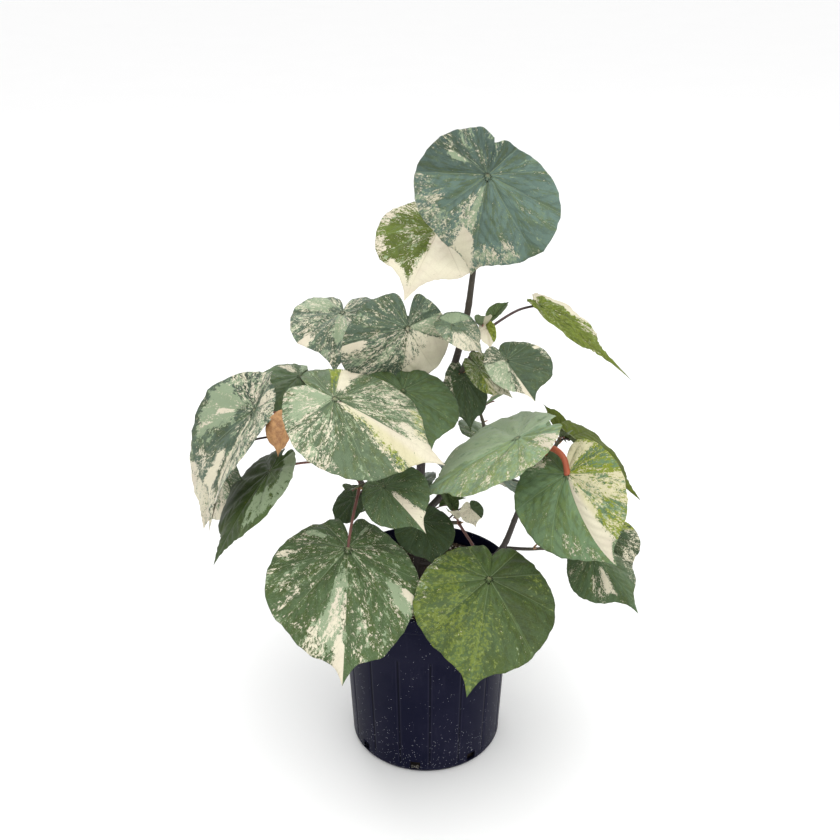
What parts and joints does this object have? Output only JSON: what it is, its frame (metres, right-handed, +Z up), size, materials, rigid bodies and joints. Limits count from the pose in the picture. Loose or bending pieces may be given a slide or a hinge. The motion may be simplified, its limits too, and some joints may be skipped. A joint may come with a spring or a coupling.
{
  "type": "potted hibiscus shrub",
  "caption": "Young variegated hibiscus shrub with large heart-shaped leaves on slender stems, growing in a plain black nursery pot.",
  "frame": {"origin": "middle of the pot's flat underside, on the ground plane", "axes": "+Z up along the pot's axis; the crown opens and faces towards -Y, and +X is to the right seen from there"},
  "size_m": [0.693, 0.6504, 1.0219],
  "materials": {
    "pot": "satin black blow-moulded plastic with white dust",
    "potting_mix": "dark bark and peat with white grit",
    "bark": "smooth grey-brown young bark",
    "foliage": "satin green leaves marbled with cream and lime"
  },
  "bodies": {
    "root": {"pot": "pot", "potting_mix": "potting_mix", "trunk": "bark", "bough_left": "bark", "bough_right": "bark", "bough_front": "bark", "bough_back_left": "bark", "bough_back_right": "bark", "foliage_top": "foliage", "foliage_upper_right": "foliage", "foliage_upper_left": "foliage", "foliage_centre": "foliage", "foliage_left": "foliage", "foliage_front_left": "foliage", "foliage_front_right": "foliage", "foliage_right": "foliage", "foliage_low_right": "foliage", "foliage_back_left": "foliage", "foliage_back_right": "foliage", "foliage_back_low": "foliage"}
  },
  "joints": []
}
